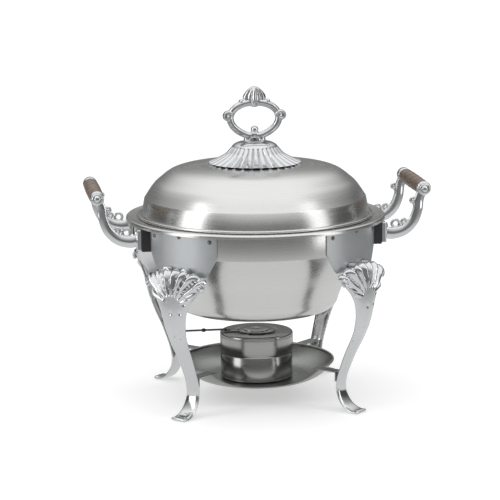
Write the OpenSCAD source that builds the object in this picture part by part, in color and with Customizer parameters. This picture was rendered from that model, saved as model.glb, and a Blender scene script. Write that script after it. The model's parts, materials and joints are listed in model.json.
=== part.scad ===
// Round four-legged chafer: a domed cover over a food pan and a water pan, carried by
// a ring frame on four cast legs, with a fuel holder on a dished shelf below.
// Millimetres, +Z up, origin on the table at the centre of the stand.
// The side handles lie on the X axis and the open side of the shelf faces -Y.

/* [Frame] */
// Outer radius of the ring that carries the pans
band_r = 154.3; // [140:0.1:170]
// Height of the ring's lower edge above the table
band_z = 203.6; // [195:0.1:215]
// Height of the ring from edge to edge
band_h = 32; // [28:0.5:40]
// Sheet thickness of the ring
band_t = 1.5; // [1:0.1:2.5]
// Half angle that one leg plate covers on the ring
plate_half_angle = 20; // [16:0.5:20]
// How far the leg plates hang below the ring
plate_drop = 22; // [18:0.5:26]
// Sheet thickness of the leg plates
plate_t = 1.6; // [1.2:0.1:3]

/* [Legs] */
// Angle of the first leg from the +X axis
leg_angle = 45; // [44:0.5:46]
// Thickness of the leg casting below the shell
leg_t = 6; // [5:0.5:8]
// Half width of the scallop shell at the top of a leg
shell_w = 46; // [40:1:50]
// Half width of a leg at the ankle
ankle_w = 9.9; // [9:0.1:13]

/* [Pans] */
// How far the water pan's rim reaches past the ring
rim_overhang = 10.1; // [8:0.1:14]
// How far the ring carries the water pan's flange, from the ring's face in to the pan's neck
pan_neck_inset = 25; // [22:0.5:28]
// Height of the rolled edge that hangs from the water pan's rim
lip_h = 5.2; // [4.5:0.1:8]
// Space between the burner's top and the water pan's floor
flame_space = 25.4; // [15:0.1:40]
// How far the food pan's rolled rim lies inside the ring
food_rim_inset = 4.3; // [3.5:0.1:8]
// Space for water between the two pans' floors
water_space = 37; // [25:1:60]
// Sheet thickness of the pans and the cover
sheet_t = 1.2; // [0.8:0.1:1.6]

/* [Cover] */
// How far the cover's edge lies inside the food pan's rim
cover_inset = 5.8; // [5:0.1:8]
// Height of the cover from its lower edge to the crown
cover_h = 64.5; // [55:0.5:90]
// Outer radius of the fluted bell at its foot
bell_r = 59; // [50:1:65]
// Height of the bell above the cover's crown
bell_h = 27; // [22:1:40]
// Height of the cast handle above the bell
lid_handle_h = 70; // [60:1:80]

/* [Side handles] */
// Gap between a handle arm's foot and the leg plate beside it
plate_gap = 1.2; // [0.8:0.1:10]
// Width of a handle arm along the grip
arm_w = 11; // [9:0.5:13]
// Thickness of the heat-insulating block where it is thinnest
block_t = 5.73; // [4:0.1:10]
// How far the grip's axis reaches out from the arm's foot
grip_reach = 54; // [46:0.5:60]
// How far the grip's axis stands above the ring
grip_rise = 37; // [30:0.5:45]
// Largest radius of the wooden grip
grip_r = 9.6; // [8.5:0.1:11]

/* [Burner] */
// Radius of the fuel holder
cup_r = 46; // [43:0.5:48]
// Height of the fuel holder without its cover
cup_h = 37; // [34:1:42]
// Height of the slip-on cover
cap_h = 22.5; // [20:0.5:26]
// Radius of the flame opening in the cover
flame_r = 21; // [15:0.5:24]
// Radius of the shelf's rim
shelf_r = 98.7; // [95:0.1:102]
// Height of the shelf's floor above the table
shelf_z = 24; // [20:0.5:30]
// How far the shelf's rim stands above its floor
shelf_rise = 23; // [18:0.5:26]
// How far the damper's pivot lies inside the holder's wall
pivot_inset = 10; // [8:0.5:14]
// Length of the damper's wire handle from the pivot
wire_length = 59; // [45:1:70]

/* [Clearances] */
// Gap between pieces that lift out of each other
lift_gap = 0.3; // [0.2:0.05:0.6]
// Radial gap of the damper's pivot
pivot_gap = 0.05; // [0.02:0.01:0.1]
// Radial gap of screws and rods in their holes
hole_gap = 0.1; // [0.05:0.05:0.3]

/* [Hidden] */

band_top = band_z + band_h;
plate_r = band_r + plate_t;
plate_w = band_r * sin(plate_half_angle);
plate_low_z = band_z - plate_drop;

flange_z = band_top + sheet_t;
rim_r = band_r + rim_overhang;
rim_rise = 0.9;
rim_roll_r = 2;
pan_neck_r = band_r - pan_neck_inset;

food_neck_r = pan_neck_r - 6;
food_rim_r = band_r - food_rim_inset;
food_bead_r = 1.8;

cover_r = food_rim_r - cover_inset;
cover_z = flange_z + sheet_t;
crown_z = cover_z + cover_h;
bell_top = crown_z + bell_h;
lid_foot_r = 15;
lid_t = 9;
lid_screw_r = 2.5;

rivet_r = 1.6;
rivet_head_r = rivet_r * 1.7;
rivet_seat = sqrt(pow(band_r - band_t, 2) - pow(rivet_head_r, 2)) - 0.1;
screw_r = 2;
screw_head_r = 3.6;
leg_pad_z = plate_low_z + 6;
leg_screw_y = 14;
leg_screw_seat = sqrt(pow(band_r, 2) - pow(leg_screw_y + screw_head_r, 2));
shelf_pad_z = shelf_z + shelf_rise - 3;
ankle_r = plate_r - 23.9;
shelf_pad_r = ankle_r - 3.5;
shelf_t = 1.5;
shelf_cut_y = 70;
tab_w = 14;
ear_x = sqrt(pow(shelf_pad_r, 2) - pow(tab_w / 2, 2)) - shelf_t;

arm_foot_t = 6;
arm_foot_z = band_z + band_h / 2 - 1;
arm_foot_h = band_h - 6;
arm_foot_w = arm_w + 1;
arm_y = band_r * sin(leg_angle - plate_half_angle) - arm_foot_w / 2 - plate_gap;
arm_foot_x = sqrt(pow(band_r, 2) - pow(arm_y - arm_foot_w / 2, 2)) + block_t;
grip_x = arm_foot_x + grip_reach;
grip_z = band_top + grip_rise;
arm_bolt_seat = sqrt(pow(band_r - band_t, 2) - pow(arm_y + screw_head_r, 2));
boss_r = 9;
rod_r = 2.5;

cup_floor = shelf_z + shelf_t + 0.1;
cup_t = 1;
cap_r = cup_r + 0.8;
cap_z = cup_floor + cup_h + 0.1;
cap_top = cap_z + cap_h;
damper_x = cup_r - pivot_inset;
damper_z = cap_top + 0.3;
damper_t = 1.2;
wire_r = 1.3;
wire_z = damper_z + damper_t + wire_r;
wire_end = damper_x + wire_length;
bead_x = damper_x + 32;
bead_r = wire_r + damper_t - 0.1;

water_floor_z = wire_z + bead_r + flame_space;

// A point on the arc about c with radius r, and an arc of n steps from angle a to angle b
function on_arc(c, r, a) = c + r * [cos(a), sin(a)];
function arc(c, r, a, b, n = 8) = [for (i = [0:n]) on_arc(c, r, a + (b - a) * i / n)];

// A smooth curve that passes through every point of p, with n steps between points
function blend(a, b, c, d, t) =
    0.5 * (2 * b + (c - a) * t + (2 * a - 5 * b + 4 * c - d) * t * t + (3 * b - a - 3 * c + d) * t * t * t);
function smooth(p, n = 5) = let (last = len(p) - 1) concat(
    [for (i = [0:last - 1], j = [0:n - 1])
        blend(p[max(i - 1, 0)], p[i], p[i + 1], p[min(i + 2, last)], j / n)],
    [p[last]]);

// The unit normal to the right of a path at point i
function side_of(p, i) =
    let (d = p[min(i + 1, len(p) - 1)] - p[max(i - 1, 0)]) [d[1], -d[0]] / norm(d);

// A closed outline: the path p, and the same path moved t to its right
function sheet(p, t) = concat(p,
    [for (i = [len(p) - 1:-1:0]) let (q = p[i] + t * side_of(p, i)) [max(q[0], 0), q[1]]]);

// A closed outline of a bar about the path p, whose thickness runs from a to b
function bar(p, a, b) =
    let (m = len(p) - 1, half = [for (i = [0:m]) (a + (b - a) * i / m) / 2])
    concat([for (i = [0:m]) p[i] + half[i] * side_of(p, i)],
           [for (i = [m:-1:0]) p[i] - half[i] * side_of(p, i)]);

// A sheet-metal turning, and a turned solid ring
module turned(path, t = sheet_t) rotate_extrude($fn = 120) polygon(sheet(path, t));
module solid_turned(outline) rotate_extrude($fn = 120) polygon(outline);

// A plate-like shape drawn in X and Z, w thick about the XZ plane
module upright(w) rotate([90, 0, 0]) linear_extrude(height = w, center = true) children();

// A shape drawn across and up, reaching outward along +X
module outward(length) rotate([90, 0, 90]) linear_extrude(height = length) children();

// A round bar along +X
module pin_x(r, x0, x1) translate([x0, 0, 0]) rotate([0, 90, 0]) cylinder(r = r, h = x1 - x0, $fn = 32);

// A low round head on +X, and one on -X
module head_x(r, h, x) translate([x, 0, 0]) rotate([0, 90, 0]) cylinder(r1 = r, r2 = r * 0.6, h = h, $fn = 32);
module head_back(r, h, x) translate([x, 0, 0]) rotate([0, -90, 0]) cylinder(r1 = r, r2 = r * 0.6, h = h, $fn = 32);

leg_angles = [180 + leg_angle, -leg_angle, 180 - leg_angle, leg_angle];

// ---- ring frame ----

module frame_band() color("silver") difference() {
    translate([0, 0, band_z]) cylinder(r = band_r, h = band_h, $fn = 120);
    translate([0, 0, band_z - 1]) cylinder(r = band_r - band_t, h = band_h + 2, $fn = 120);
    for (a = leg_angles) rotate(a) rivet_places() pin_x(rivet_r + hole_gap, band_r - 10, band_r + 10);
    handle_places() translate([0, 0, arm_foot_z]) pin_x(screw_r + hole_gap, band_r - 40, band_r + 10);
}

// Where the rivets of one plate go, given as turns and lifts of a pin on +X
module rivet_places() for (p = [[-0.8, -9], [0, -6], [0.8, -9]])
    rotate(p[0] * plate_half_angle) translate([0, 0, band_top + p[1]]) children();

module leg_screw_places() for (y = [-leg_screw_y, leg_screw_y]) translate([0, y, leg_pad_z]) children();

module leg_plate(a) color("silver") rotate(a) difference() {
    intersection() {
        difference() {
            translate([0, 0, plate_low_z]) cylinder(r = plate_r, h = band_top - plate_low_z - 2.5, $fn = 120);
            translate([0, 0, plate_low_z - 1]) cylinder(r = band_r, h = band_h * 2, $fn = 120);
        }
        outward(plate_r + 10) polygon(concat(
            [[plate_w, band_top + 5]],
            arc([plate_w - 8, band_z + 6], 8, 0, -40, 5),
            [[shell_w - 8, plate_low_z]],
            [[8 - shell_w, plate_low_z]],
            arc([8 - plate_w, band_z + 6], 8, 220, 180, 5),
            [[-plate_w, band_top + 5]]));
    }
    rivet_places() pin_x(rivet_r + hole_gap, band_r - 10, band_r + 10);
    leg_screw_places() pin_x(screw_r + hole_gap, band_r - 10, band_r + 10);
}
module leg_plate_front_left() leg_plate(leg_angles[0]);
module leg_plate_front_right() leg_plate(leg_angles[1]);
module leg_plate_back_left() leg_plate(leg_angles[2]);
module leg_plate_back_right() leg_plate(leg_angles[3]);

module leg_rivets() color("gray") for (a = leg_angles) rotate(a) rivet_places() {
    pin_x(rivet_r, rivet_seat, plate_r);
    head_x(rivet_head_r, 1, plate_r);
    head_back(rivet_head_r, 1, rivet_seat);
}

// Heights on a leg above the ankle stretch so that the shell's top stays at its pad
ankle_z = 30;
leg_stretch = (leg_pad_z - ankle_z) / 157.6;
function leg_height(z) = z < ankle_z ? z : ankle_z + (z - ankle_z) * leg_stretch;

// The middle line of a leg, outward from the ankle and up, from the toe to the top of the shell
leg_line = smooth([for (p = [
    [32, 2.2], [22, 2.2], [11, 7.5], [3, 18], [0, 30], [2, 44], [8, 60], [16, 78], [25, 95],
    [32, 112], [36, 130], [37.5, 150], [36.5, 168], [31, 186]]) [ankle_r + p[0], leg_height(p[1])]], 4);

// Half of a leg's front outline, across and up
leg_edge = smooth([for (p = [
    [12, -1], [11.5, 6], [ankle_w, 20], [ankle_w, 50], [12, 78], [14.5, 105], [18, 126],
    [23, 146], [31, 157], [shell_w - 3, 168], [shell_w, 178], [shell_w - 6, 186], [shell_w - 18, 191],
    [0, 193]]) [p[0], leg_height(p[1])]], 4);

module leg(a) color("gainsboro") rotate(a) difference() {
    intersection() {
        union() {
            solid_turned(bar(leg_line, 4.6, leg_t + 3));
            solid_turned([[plate_r, leg_pad_z - 8], [plate_r, leg_pad_z + 6], [plate_r + 10.1, leg_pad_z + 2],
                [plate_r + 13.1, leg_pad_z - 14]]);
            solid_turned([[shelf_pad_r, shelf_pad_z - 7], [shelf_pad_r, shelf_pad_z + 7],
                [ankle_r + 6, shelf_pad_z + 9], [ankle_r + 2, shelf_pad_z - 7]]);
        }
        outward(plate_r + 40) polygon(concat(leg_edge,
            [for (i = [len(leg_edge) - 1:-1:0]) [-leg_edge[i][0], leg_edge[i][1]]]));
        cylinder(r = plate_r + 60, h = band_top);
    }
    leg_screw_places() pin_x(screw_r + hole_gap, plate_r - 5, plate_r + 7);
    translate([0, 0, shelf_pad_z]) pin_x(screw_r + hole_gap, shelf_pad_r - 5, shelf_pad_r + 5);
}
module leg_front_left() leg(leg_angles[0]);
module leg_front_right() leg(leg_angles[1]);
module leg_back_left() leg(leg_angles[2]);
module leg_back_right() leg(leg_angles[3]);

module leg_screws() color("gray") for (a = leg_angles) rotate(a) leg_screw_places() {
    pin_x(screw_r, leg_screw_seat, plate_r + 6);
    head_back(screw_head_r, 1.6, leg_screw_seat);
}

// ---- shelf ----

// The dish: a flat floor, then an arc that rises from it to the rim, then a small rolled edge
dish_flat_r = shelf_r - 40.7;
dish_arc_r = (pow(shelf_r - dish_flat_r, 2) + pow(shelf_rise, 2)) / (2 * shelf_rise);
dish_arc_end = asin((shelf_r - dish_flat_r) / dish_arc_r);

module burner_shelf() color("darkgray") difference() {
    union() {
        difference() {
            union() {
                turned(concat([[0, shelf_z]],
                    arc([dish_flat_r, shelf_z + dish_arc_r], dish_arc_r, -90, dish_arc_end - 90, 12)), -shelf_t);
                translate([0, 0, shelf_z + shelf_rise]) rotate_extrude($fn = 120)
                    translate([shelf_r - 1, 0]) circle(r = 1.6, $fn = 24);
            }
            translate([-200, -shelf_cut_y - 100, 0]) cube([400, 100, 100]);
        }
        for (a = leg_angles) rotate(a) {
            translate([shelf_r - 4, -tab_w / 2, shelf_pad_z + 4]) cube([ear_x + shelf_t - shelf_r + 4, tab_w, shelf_t]);
            translate([ear_x, -tab_w / 2, shelf_pad_z - 7]) cube([shelf_t, tab_w, 11 + shelf_t]);
        }
    }
    for (a = leg_angles) rotate(a) translate([0, 0, shelf_pad_z])
        pin_x(screw_r + hole_gap, shelf_pad_r - 10, shelf_pad_r + 5);
    for (a = [35, 145, 215, 325]) rotate(a) translate([dish_flat_r + 3, 0, shelf_z - 5]) cylinder(r = 2.5, h = 20);
}

module shelf_screws() color("gray") for (a = leg_angles) rotate(a) translate([0, 0, shelf_pad_z]) {
    pin_x(screw_r, ear_x, shelf_pad_r + 4.5);
    head_back(screw_head_r, 1.6, ear_x);
}

// ---- side handles ----

// The middle line of a handle arm, outward and up, from its foot to the eye for the grip's rod
arm_line = smooth([for (p = [
    [0.056, -0.037], [0.278, -0.076], [0.556, 0.007], [0.759, 0.211], [0.861, 0.489], [0.898, 0.748], [1, 1]])
    [arm_foot_x + p[0] * grip_reach, arm_foot_z + p[1] * (grip_z - arm_foot_z)]], 5);

// side is 1 for the right handle and -1 for the left; y is the arm's place across the handle
module handle_arm(side, y) color("silver") mirror([side < 0 ? 1 : 0, 0, 0]) translate([0, y, 0]) difference() {
    union() {
        upright(arm_w) polygon(bar(arm_line, 13, 11));
        translate([grip_x, 0, grip_z]) rotate([90, 0, 0]) cylinder(r = boss_r, h = arm_w, center = true, $fn = 48);
        translate([arm_foot_x, -arm_foot_w / 2, arm_foot_z - arm_foot_h / 2])
            cube([arm_foot_t, arm_foot_w, arm_foot_h]);
    }
    translate([grip_x, 0, grip_z]) rotate([90, 0, 0])
        cylinder(r = rod_r + hole_gap, h = arm_w * 2, center = true, $fn = 48);
    translate([0, 0, arm_foot_z]) pin_x(screw_r + hole_gap, arm_foot_x - 5, arm_foot_x + 14);
}
module handle_arm_left_front() handle_arm(-1, -arm_y);
module handle_arm_left_back() handle_arm(-1, arm_y);
module handle_arm_right_front() handle_arm(1, -arm_y);
module handle_arm_right_back() handle_arm(1, arm_y);

module handle_places() for (s = [0, 1], y = [-arm_y, arm_y]) mirror([s, 0, 0]) translate([0, y, 0]) children();

module handle_spacers() color("dimgray") difference() {
    handle_places() difference() {
        translate([arm_foot_x - 16, -arm_foot_w / 2, band_z + 0.5]) cube([16, arm_foot_w, band_h - 4]);
        translate([0, 0, arm_foot_z]) pin_x(screw_r + hole_gap, arm_foot_x - 30, arm_foot_x + 5);
    }
    cylinder(r = band_r, h = 400, $fn = 120);
}

module handle_bolts() color("gray") handle_places() translate([0, 0, arm_foot_z]) {
    pin_x(screw_r, arm_bolt_seat, arm_foot_x + 13);
    head_back(screw_head_r, 2, arm_bolt_seat);
}

// The wooden grip is turned: a bead at each end and beads along its length
grip_half = arm_y - arm_w / 2 - 0.2;
bead_count = 5;
grip_wave = 1.1;
function grip_radius(t) = let (e = min(t, 1 - t) * 2 * grip_half)
    (grip_r - grip_wave) * (0.9 + 0.1 * sin(180 * t)) + grip_wave * abs(sin(180 * bead_count * t))
    - (e < 2 ? 0.8 * (2 - e) : 0);
grip_steps = bead_count * 8;

module grip(side) color("sienna") translate([side * grip_x, 0, grip_z]) rotate([90, 0, 0])
    solid_turned(concat([[rod_r + hole_gap, -grip_half]],
        [for (i = [0:grip_steps]) [grip_radius(i / grip_steps), (2 * i / grip_steps - 1) * grip_half]],
        [[rod_r + hole_gap, grip_half]]));
module grip_left() grip(-1);
module grip_right() grip(1);

rod_half = arm_y + arm_w / 2 + 4;
module grip_rod(side) color("gray") translate([side * grip_x, 0, grip_z]) rotate([90, 0, 0])
    cylinder(r = rod_r, h = 2 * rod_half, center = true, $fn = 48);
module grip_rod_left() grip_rod(-1);
module grip_rod_right() grip_rod(1);

// A round cap nut with a ring turned in its face
cap_nut_r = 8;
module grip_caps() color("silver") for (x = [-grip_x, grip_x], s = [0, 1]) mirror([0, s, 0])
    translate([x, arm_y + arm_w / 2, grip_z]) rotate([-90, 0, 0])
    solid_turned([[rod_r, 0], [cap_nut_r, 0], [cap_nut_r, 1.6], [cap_nut_r - 1.4, 3], [5, 3], [4.4, 4.6], [3, 6],
        [0, 6.6], [0, 4], [rod_r, 4]]);

// ---- pans ----

// The path is the pan's underside: down-turned lip, rolled rim, flange, wall, corner, floor
water_depth = flange_z - water_floor_z;
roll_r = rim_r - sheet_t - rim_roll_r;
roll_z = flange_z + rim_rise - sheet_t - rim_roll_r;
module water_pan() color("silver") turned(concat(
    [[rim_r - sheet_t, flange_z + rim_rise - lip_h]],
    arc([roll_r, roll_z], rim_roll_r, 0, 100, 6),
    [[roll_r - 3, band_top], [pan_neck_r + 4, band_top]],
    arc([pan_neck_r + 3, band_top - 3], 3, 90, 176, 4),
    smooth([[pan_neck_r - 1.5, water_floor_z + 0.727 * water_depth],
        [pan_neck_r - 11.5, water_floor_z + 0.413 * water_depth],
        [pan_neck_r - 22.5, water_floor_z + 0.165 * water_depth]], 4),
    arc([pan_neck_r - 42, water_floor_z + 18], 18, -8, -90, 6),
    [[0, water_floor_z]]), sheet_t);

food_floor_z = water_floor_z + water_space;
module food_pan() color("gainsboro") union() {
    turned(concat(
        [[food_rim_r - food_bead_r, flange_z], [food_neck_r + 3, flange_z]],
        arc([food_neck_r + 2, flange_z - 3], 3, 90, 176, 4),
        [[food_neck_r - 12, food_floor_z + 18]],
        arc([food_neck_r - 28, food_floor_z + 16], 16, -5, -90, 6),
        [[0, food_floor_z]]), sheet_t);
    translate([0, 0, flange_z + food_bead_r]) rotate_extrude($fn = 120)
        translate([food_rim_r - food_bead_r, 0]) circle(r = food_bead_r, $fn = 24);
}

// ---- cover ----

dome_line = concat(
    [[cover_r, cover_z], [cover_r, cover_z + 2]],
    smooth([[cover_r - 3.6, crown_z - 43], [cover_r - 13.7, crown_z - 28], [cover_r - 22.2, crown_z - 19.5],
        [cover_r - 39.6, crown_z - 7.5], [cover_r - 66.8, crown_z - 1.9], [cover_r - 104, crown_z - 0.4]], 4),
    [[0, crown_z]]);

module cover_dome() color("silver") difference() {
    turned(dome_line, -sheet_t);
    cylinder(r = lid_screw_r + hole_gap, h = 400, $fn = 48);
}

// The bell's foot rests on the dome's outer face
bell_line = smooth([
    [bell_r, lookup(bell_r, dome_line) + 2.2], [bell_r - 7, crown_z + 4], [bell_r - 20, crown_z + 10.7], [33.5, crown_z + 15.8],
    [29, bell_top - 6.1], [26, bell_top - 3.5], [21.6, bell_top - 1], [17, bell_top]], 4);

module cover_bell() color("gainsboro") difference() {
    turned(concat(bell_line, [[0, bell_top]]), -2);
    cylinder(r = lid_screw_r + hole_gap, h = 400, $fn = 48);
}

// Half of the open ring, from the foot out to the side scroll and up to the finial.
// Heights are shares of the handle's height
function lid_at(x, f) = [x, f * lid_handle_h];
ring_line = smooth([
    lid_at(2, 0.106), lid_at(8, 0.117), lid_at(14, 0.15), lid_at(20, 0.197), lid_at(24.5, 0.25),
    lid_at(27.5, 0.304), lid_at(30, 0.4), lid_at(29.5, 0.49), lid_at(25.5, 0.603), lid_at(21, 0.651),
    lid_at(14, 0.69), lid_at(6, 0.71)], 3);

module lid_handle() color("silver") translate([0, 0, bell_top]) difference() {
    union() {
        cylinder(r = lid_foot_r, h = 1.5, $fn = 64);
        translate([0, 0, 1]) cylinder(r1 = lid_foot_r - 1, r2 = 9, h = 3, $fn = 64);
        upright(lid_t) polygon([[-9, 2], [9, 2], lid_at(12, 0.1), lid_at(-12, 0.1)]);
        for (m = [0, 1]) mirror([m, 0, 0]) {
            upright(lid_t) polygon(bar(ring_line, 8, 8));
            translate([33.5, 0, 0.464 * lid_handle_h]) rotate([90, 0, 0])
                cylinder(r = 7, h = lid_t + 1, center = true, $fn = 48);
        }
        translate([0, 0, 0.226 * lid_handle_h]) sphere(r = 4.8, $fn = 48);
        upright(lid_t - 1) polygon(smooth([lid_at(0, 0.62), lid_at(-9, 0.66), lid_at(-14, 0.74),
            lid_at(-14.6, 0.8), lid_at(-12, 0.87), lid_at(-7, 0.95), lid_at(0, 1), lid_at(7, 0.95),
            lid_at(12, 0.87), lid_at(14.6, 0.8), lid_at(14, 0.74), lid_at(9, 0.66), lid_at(0, 0.62)], 3));
    }
    translate([0, 0, -1]) cylinder(r = lid_screw_r + hole_gap, h = 11, $fn = 48);
}

module lid_handle_washer() color("gray") translate([0, 0, crown_z - sheet_t - 1.6]) difference() {
    cylinder(r = 9, h = 1.4, $fn = 48);
    translate([0, 0, -1]) cylinder(r = lid_screw_r + hole_gap, h = 4, $fn = 48);
}

module lid_handle_screw() color("gray") {
    translate([0, 0, crown_z - sheet_t - 5]) cylinder(r = lid_screw_r, h = bell_h + 14, $fn = 48);
    translate([0, 0, crown_z - sheet_t - 4.7]) cylinder(r1 = 3.5, r2 = 5, h = 3, $fn = 48);
}

// ---- fuel holder ----

module fuel_cup() color("lightgray") turned([
    [cup_r, cup_floor + cup_h], [cup_r, cup_floor + 2], [cup_r - 2, cup_floor], [0, cup_floor]], cup_t);

module fuel_cover() color("lightgray") difference() {
    union() {
        turned([[cap_r, cap_z], [cap_r, cap_top - 2], [cap_r - 2, cap_top], [0, cap_top]], -cup_t);
        translate([0, 0, cap_z - 8]) difference() {
            cylinder(r = cup_r - cup_t - lift_gap, h = cap_h + 7.5, $fn = 120);
            translate([0, 0, -1]) cylinder(r = cup_r - 2 * cup_t - lift_gap, h = cap_h + 20, $fn = 120);
        }
    }
    cylinder(r = flame_r, h = 200, $fn = 96);
    translate([-damper_x, 0, cap_top - 5]) cylinder(r = 1.5 + pivot_gap, h = 10, $fn = 32);
}

module damper_plate() color("silver") translate([0, 0, damper_z]) difference() {
    union() {
        cylinder(r = flame_r + 3, h = damper_t, $fn = 96);
        translate([-damper_x - 5, -5, 0]) cube([damper_x - 10, 10, damper_t]);
        cylinder(r = flame_r - 4, h = damper_t + 1.6, $fn = 96);
    }
    translate([-damper_x, 0, -1]) cylinder(r = 1.5 + pivot_gap, h = 5, $fn = 32);
}

module damper_rivet() color("gray") translate([-damper_x, 0, 0]) {
    translate([0, 0, cap_top - cup_t - 1]) cylinder(r = 1.5, h = damper_t + cup_t + 2, $fn = 32);
    translate([0, 0, damper_z + damper_t + 0.1]) cylinder(r1 = 3, r2 = 2, h = 1.4, $fn = 32);
    translate([0, 0, cap_top - cup_t - 1]) cylinder(r1 = 2, r2 = 3, h = 0.9, $fn = 32);
}

module damper_handle() color("silver") difference() {
    translate([0, 0, wire_z]) pin_x(wire_r, -wire_end, -damper_x - 3.2);
    translate([0, 0, wire_z]) pin_x(wire_r + 1, -bead_x - bead_r, -bead_x + bead_r);
}

module damper_bead() color("black") translate([-bead_x, 0, wire_z]) sphere(r = bead_r, $fn = 32);

frame_band();
leg_plate_front_left();
leg_plate_front_right();
leg_plate_back_left();
leg_plate_back_right();
leg_front_left();
leg_front_right();
leg_back_left();
leg_back_right();
leg_rivets();
leg_screws();
burner_shelf();
shelf_screws();
handle_arm_left_front();
handle_arm_left_back();
handle_arm_right_front();
handle_arm_right_back();
handle_spacers();
handle_bolts();
grip_left();
grip_right();
grip_rod_left();
grip_rod_right();
grip_caps();
water_pan();
food_pan();
cover_dome();
cover_bell();
lid_handle();
lid_handle_screw();
lid_handle_washer();
fuel_cup();
fuel_cover();
damper_plate();
damper_handle();
damper_bead();
damper_rivet();
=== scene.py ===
import json
import math
import bpy
import bmesh
import numpy as np
from mathutils import Matrix, Vector


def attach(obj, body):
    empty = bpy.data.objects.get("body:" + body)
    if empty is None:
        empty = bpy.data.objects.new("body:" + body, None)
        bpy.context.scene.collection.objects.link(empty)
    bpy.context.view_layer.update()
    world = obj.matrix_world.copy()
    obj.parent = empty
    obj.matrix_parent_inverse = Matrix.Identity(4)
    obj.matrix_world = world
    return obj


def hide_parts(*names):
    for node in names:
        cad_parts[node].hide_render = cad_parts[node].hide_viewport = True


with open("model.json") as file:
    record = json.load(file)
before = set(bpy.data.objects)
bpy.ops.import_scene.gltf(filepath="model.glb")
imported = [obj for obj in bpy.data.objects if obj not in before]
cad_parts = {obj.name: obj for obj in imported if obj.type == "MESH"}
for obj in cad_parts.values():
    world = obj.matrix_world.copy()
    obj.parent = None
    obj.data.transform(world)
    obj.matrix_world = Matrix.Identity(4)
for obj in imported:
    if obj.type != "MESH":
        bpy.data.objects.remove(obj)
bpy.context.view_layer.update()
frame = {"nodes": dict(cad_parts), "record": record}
nodes = frame["nodes"]
print("frame loaded:", len(nodes), "nodes")

# Lengths of the object are millimetres until putMesh writes them in metres; the studio is in metres
mm = 0.001
pi = math.pi


# ---- curves and outlines ----

def curveThrough(points, steps=8):
    # Catmull-Rom: each span is the cubic through its two points with slopes from the points beside them
    p = np.asarray(points, float)
    q = np.vstack([2 * p[0] - p[1], p, 2 * p[-1] - p[-2]])
    t = np.linspace(0, 1, steps, endpoint=False)[:, None, None]
    a, b, c, d = q[:-3], q[1:-2], q[2:-1], q[3:]
    spans = 0.5 * (2 * b + (c - a) * t + (2 * a - 5 * b + 4 * c - d) * t ** 2
                   + (3 * b - a - 3 * c + d) * t ** 3)
    return np.vstack([spans.transpose(1, 0, 2).reshape(-1, p.shape[1]), p[-1:]])


def arcPoints(center, radius, start, end, steps=8):
    # Points centre + radius (cos a, sin a), with a in degrees from start to end
    a = np.radians(np.linspace(start, end, steps + 1))
    return np.column_stack([center[0] + radius * np.cos(a), center[1] + radius * np.sin(a)])


def sideOf(path):
    # Unit normals to the left of a path, from the difference of the points on either side
    d = np.gradient(np.asarray(path, float), axis=0)
    d /= np.maximum(np.linalg.norm(d, axis=1), 1e-9)[:, None]
    return np.column_stack([-d[:, 1], d[:, 0]])


def sheetOutline(path, thick, hem=0.0):
    # A closed outline: the path, a half round at its end, the path moved sideways, and a half round back.
    # hem swells both faces near the path's first end, as a rolled edge does
    path = np.asarray(path, float)
    n = sideOf(path)
    run = np.concatenate([[0], np.cumsum(np.linalg.norm(np.diff(path, axis=0), axis=1))])
    swell = hem * np.exp(-(run / 1.6) ** 2)[:, None]
    first, second = path - n * swell, path + n * (thick + swell)
    middleEnd, r = (first[-1] + second[-1]) / 2, thick / 2
    ahead = path[-1] - path[-2]
    ahead /= np.linalg.norm(ahead)
    t = np.linspace(0, pi, 7)[1:-1, None]
    onAxis = path[-1][0] < 0.01
    endCap = middleEnd + r * (-np.cos(t) * n[-1] + np.sin(t) * ahead)
    middleStart = (first[0] + second[0]) / 2
    back = path[0] - path[1]
    back /= np.linalg.norm(back)
    rs = thick / 2 + swell[0, 0]
    startCap = middleStart + rs * (np.cos(t) * n[0] + np.sin(t) * back * 0.8)
    parts = [first] + ([] if onAxis else [endCap]) + [second[::-1]]
    if path[0][0] > 0.01:
        parts.append(startCap)
    out = np.vstack(parts)
    out[:, 0] = np.maximum(out[:, 0], 0)
    return out


# ---- surfaces ----

def gridFaces(rows, cols, wrapRows=False, wrapCols=False, offset=0):
    # Quads between neighbours on a rows x cols grid; a wrap joins the last row or column to the first
    i = np.arange(rows if wrapRows else rows - 1)[:, None]
    j = np.arange(cols if wrapCols else cols - 1)[None, :]
    i2, j2 = (i + 1) % rows, (j + 1) % cols
    quads = np.stack(np.broadcast_arrays(i * cols + j, i * cols + j2, i2 * cols + j2, i2 * cols + j), -1)
    return quads.reshape(-1, 4) + offset


class Shell:
    # Collects grids of points, and their quads, for one piece
    def __init__(self):
        self.points, self.quads, self.count = [], [], 0

    def add(self, grid, wrapRows=False, wrapCols=False):
        rows, cols = grid.shape[:2]
        self.points.append(grid.reshape(-1, 3))
        self.quads.append(gridFaces(rows, cols, wrapRows, wrapCols, self.count))
        self.count += rows * cols
        return self

    def addMoved(self, other, matrix=np.eye(4)):
        # Another shell's points, each multiplied by a 4 x 4 matrix
        m = np.asarray(matrix, float)
        for p, q in zip(other.points, other.quads):
            self.points.append(p @ m[:3, :3].T + m[:3, 3])
        for q in other.quads:
            self.quads.append(q + self.count)
        self.count += other.count
        return self


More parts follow.
